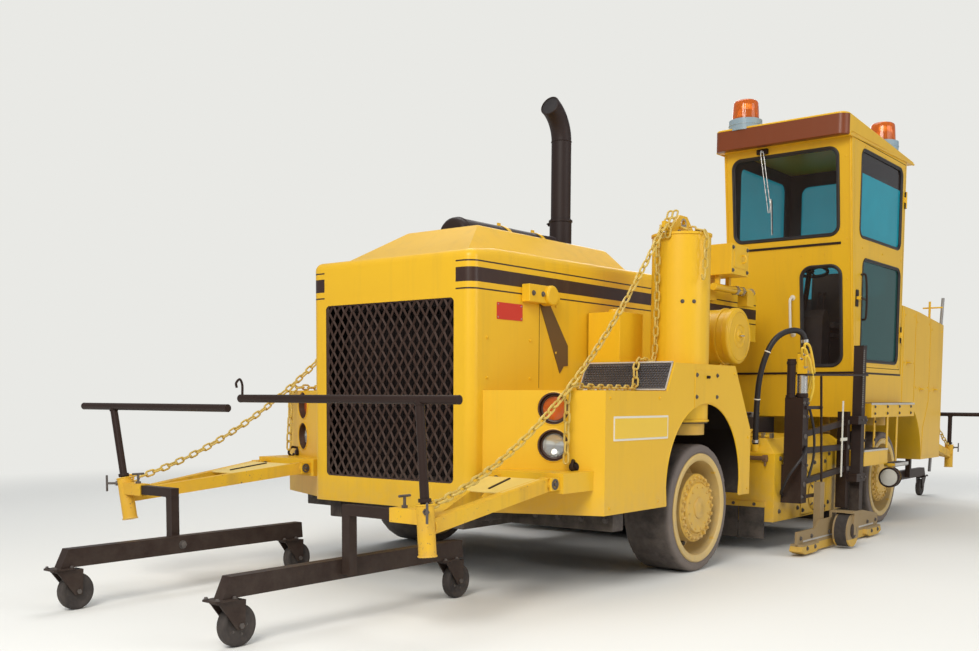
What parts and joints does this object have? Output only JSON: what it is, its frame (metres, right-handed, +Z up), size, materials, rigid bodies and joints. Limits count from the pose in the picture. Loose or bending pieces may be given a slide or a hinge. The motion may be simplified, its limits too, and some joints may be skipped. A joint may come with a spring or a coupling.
{
  "type": "cold planer milling machine",
  "caption": "Wheeled cold planer road-milling machine with hood, cab, cutting drum, steered legs, hinged ski arms with casters and edge plates.",
  "frame": {"origin": "on the ground, under the middle of the overall length and of the width", "axes": "+X to the grille end, +Y to the cab side (the left of a driver facing the grille), +Z up"},
  "size_m": [12.7, 4.15, 4.51],
  "materials": {
    "yellow_paint": "gloss enamel",
    "black_paint": "satin black enamel",
    "tread_steel": "worn checker plate",
    "grille_mesh": "dark expanded metal",
    "tyre_rubber": "matte rubber",
    "rim_paint": "enamel",
    "caster_rubber": "matte rubber",
    "cab_glass": "tinted",
    "clear_glass": "clear",
    "amber_glass": "clear amber",
    "hose_rubber": "matte rubber",
    "lamp_housing": "dark enamel",
    "iron": "rough",
    "muffler_black": "heat-proof black",
    "seat_trim": "vinyl",
    "drum_steel": "worn",
    "frame_dark": "dark paint",
    "chain_yellow": "yellow zinc"
  },
  "bodies": {
    "chassis": {"main_frame": "frame_dark", "leg_columns": "yellow_paint", "engine_hood": "yellow_paint", "grille": "grille_mesh", "engine": "iron", "exhaust": "muffler_black", "air_cleaner": "yellow_paint", "front_fenders": "yellow_paint", "tread_plates": "tread_steel", "lamp_cups": "lamp_housing", "headlamp_glass": "clear_glass", "amber_lenses": "amber_glass", "cab_shell": "yellow_paint", "cab_roof": "yellow_paint", "cab_glass": "cab_glass", "cab_interior": "seat_trim", "rear_body": "yellow_paint", "fuel_tank": "yellow_paint", "drum_housing": "yellow_paint", "side_linkage": "black_paint", "hose": "hose_rubber", "arm_brackets": "yellow_paint", "arm_chains": "chain_yellow"},
    "leg_front_left": {"leg_front_left": "yellow_paint"},
    "wheel_front_left": {"tyre_front_left": "tyre_rubber", "rim_front_left": "rim_paint"},
    "leg_front_right": {"leg_front_right": "yellow_paint"},
    "wheel_front_right": {"tyre_front_right": "tyre_rubber", "rim_front_right": "rim_paint"},
    "leg_rear_left": {"leg_rear_left": "yellow_paint"},
    "wheel_rear_left": {"tyre_rear_left": "tyre_rubber", "rim_rear_left": "rim_paint"},
    "leg_rear_right": {"leg_rear_right": "yellow_paint"},
    "wheel_rear_right": {"tyre_rear_right": "tyre_rubber", "rim_rear_right": "rim_paint"},
    "drum": {"cutter_drum": "drum_steel"},
    "door": {"cab_door": "yellow_paint", "door_glass": "cab_glass"},
    "edge_plate_left": {"edge_plate_left": "black_paint"},
    "edge_plate_right": {"edge_plate_right": "black_paint"},
    "arm_front_left": {"arm_front_left": "yellow_paint", "bars_front_left": "black_paint"},
    "ski_front_left": {"ski_front_left": "black_paint"},
    "caster_front_left_outer": {"caster_front_left_outer": "caster_rubber"},
    "caster_front_left_inner": {"caster_front_left_inner": "caster_rubber"},
    "arm_front_right": {"arm_front_right": "yellow_paint", "bars_front_right": "black_paint"},
    "ski_front_right": {"ski_front_right": "black_paint"},
    "caster_front_right_outer": {"caster_front_right_outer": "caster_rubber"},
    "caster_front_right_inner": {"caster_front_right_inner": "caster_rubber"},
    "arm_rear_left": {"arm_rear_left": "yellow_paint", "bars_rear_left": "black_paint"},
    "ski_rear_left": {"ski_rear_left": "black_paint"},
    "caster_rear_left_outer": {"caster_rear_left_outer": "caster_rubber"},
    "caster_rear_left_inner": {"caster_rear_left_inner": "caster_rubber"},
    "arm_rear_right": {"arm_rear_right": "yellow_paint", "bars_rear_right": "black_paint"},
    "ski_rear_right": {"ski_rear_right": "black_paint"},
    "caster_rear_right_outer": {"caster_rear_right_outer": "caster_rubber"},
    "caster_rear_right_inner": {"caster_rear_right_inner": "caster_rubber"}
  },
  "joints": [
    {"name": "steer_front_left", "type": "hinge", "parent": "chassis", "child": "leg_front_left", "pos_m": [2.14, 1.352, 0.508], "axis": [0, 0, 1], "range_deg": [-22, 22]},
    {"name": "roll_front_left", "type": "hinge", "parent": "leg_front_left", "child": "wheel_front_left", "pos_m": [2.14, 1.352, 0.508], "axis": [0, 1, 0], "continuous": true},
    {"name": "steer_front_right", "type": "hinge", "parent": "chassis", "child": "leg_front_right", "pos_m": [2.14, -1.352, 0.508], "axis": [0, 0, 1], "range_deg": [-22, 22]},
    {"name": "roll_front_right", "type": "hinge", "parent": "leg_front_right", "child": "wheel_front_right", "pos_m": [2.14, -1.352, 0.508], "axis": [0, 1, 0], "continuous": true},
    {"name": "steer_rear_left", "type": "hinge", "parent": "chassis", "child": "leg_rear_left", "pos_m": [-2.31, 1.352, 0.508], "axis": [0, 0, 1], "range_deg": [-22, 22]},
    {"name": "roll_rear_left", "type": "hinge", "parent": "leg_rear_left", "child": "wheel_rear_left", "pos_m": [-2.31, 1.352, 0.508], "axis": [0, 1, 0], "continuous": true},
    {"name": "steer_rear_right", "type": "hinge", "parent": "chassis", "child": "leg_rear_right", "pos_m": [-2.31, -1.352, 0.508], "axis": [0, 0, 1], "range_deg": [-22, 22]},
    {"name": "roll_rear_right", "type": "hinge", "parent": "leg_rear_right", "child": "wheel_rear_right", "pos_m": [-2.31, -1.352, 0.508], "axis": [0, 1, 0], "continuous": true},
    {"name": "drum_spin", "type": "hinge", "parent": "chassis", "child": "drum", "pos_m": [-0.19, 0, 0.462], "axis": [0, 1, 0], "continuous": true},
    {"name": "door_swing", "type": "hinge", "parent": "chassis", "child": "door", "pos_m": [-2.657, 1.604, 2.85], "axis": [0, 0, 1], "range_deg": [0, 100]},
    {"name": "edge_lift_left", "type": "slide", "parent": "chassis", "child": "edge_plate_left", "axis": [0, 0, 1], "range_m": [0, 0.22]},
    {"name": "edge_lift_right", "type": "slide", "parent": "chassis", "child": "edge_plate_right", "axis": [0, 0, 1], "range_m": [0, 0.22]},
    {"name": "raise_front_left", "type": "hinge", "parent": "chassis", "child": "arm_front_left", "pos_m": [4.105, 1.195, 0.812], "axis": [0, -1, 0], "range_deg": [0, 55], "deforming": ["arm_chains"]},
    {"name": "tilt_front_left", "type": "hinge", "parent": "arm_front_left", "child": "ski_front_left", "pos_m": [5.36, 0.79, 0.34], "axis": [0, -1, 0], "range_deg": [-10, 10]},
    {"name": "roll_caster_front_left_outer", "type": "hinge", "parent": "ski_front_left", "child": "caster_front_left_outer", "pos_m": [6.167, 0.79, 0.12], "axis": [0, 1, 0], "continuous": true},
    {"name": "roll_caster_front_left_inner", "type": "hinge", "parent": "ski_front_left", "child": "caster_front_left_inner", "pos_m": [4.262, 0.79, 0.12], "axis": [0, 1, 0], "continuous": true},
    {"name": "raise_front_right", "type": "hinge", "parent": "chassis", "child": "arm_front_right", "pos_m": [4.105, -1.195, 0.812], "axis": [0, -1, 0], "range_deg": [0, 55], "deforming": ["arm_chains"]},
    {"name": "tilt_front_right", "type": "hinge", "parent": "arm_front_right", "child": "ski_front_right", "pos_m": [5.36, -0.83, 0.34], "axis": [0, -1, 0], "range_deg": [-10, 10]},
    {"name": "roll_caster_front_right_outer", "type": "hinge", "parent": "ski_front_right", "child": "caster_front_right_outer", "pos_m": [6.167, -0.83, 0.12], "axis": [0, 1, 0], "continuous": true},
    {"name": "roll_caster_front_right_inner", "type": "hinge", "parent": "ski_front_right", "child": "caster_front_right_inner", "pos_m": [4.262, -0.83, 0.12], "axis": [0, 1, 0], "continuous": true},
    {"name": "raise_rear_left", "type": "hinge", "parent": "chassis", "child": "arm_rear_left", "pos_m": [-4.51, 1.195, 0.812], "axis": [0, 1, 0], "range_deg": [0, 55], "deforming": ["arm_chains"]},
    {"name": "tilt_rear_left", "type": "hinge", "parent": "arm_rear_left", "child": "ski_rear_left", "pos_m": [-5.36, 0.86, 0.34], "axis": [0, 1, 0], "range_deg": [-10, 10]},
    {"name": "roll_caster_rear_left_outer", "type": "hinge", "parent": "ski_rear_left", "child": "caster_rear_left_outer", "pos_m": [-6.167, 0.86, 0.12], "axis": [0, 1, 0], "continuous": true},
    {"name": "roll_caster_rear_left_inner", "type": "hinge", "parent": "ski_rear_left", "child": "caster_rear_left_inner", "pos_m": [-4.262, 0.86, 0.12], "axis": [0, 1, 0], "continuous": true},
    {"name": "raise_rear_right", "type": "hinge", "parent": "chassis", "child": "arm_rear_right", "pos_m": [-4.51, -1.195, 0.812], "axis": [0, 1, 0], "range_deg": [0, 55], "deforming": ["arm_chains"]},
    {"name": "tilt_rear_right", "type": "hinge", "parent": "arm_rear_right", "child": "ski_rear_right", "pos_m": [-5.36, -0.86, 0.34], "axis": [0, 1, 0], "range_deg": [-10, 10]},
    {"name": "roll_caster_rear_right_outer", "type": "hinge", "parent": "ski_rear_right", "child": "caster_rear_right_outer", "pos_m": [-6.167, -0.86, 0.12], "axis": [0, 1, 0], "continuous": true},
    {"name": "roll_caster_rear_right_inner", "type": "hinge", "parent": "ski_rear_right", "child": "caster_rear_right_inner", "pos_m": [-4.262, -0.86, 0.12], "axis": [0, 1, 0], "continuous": true}
  ]
}
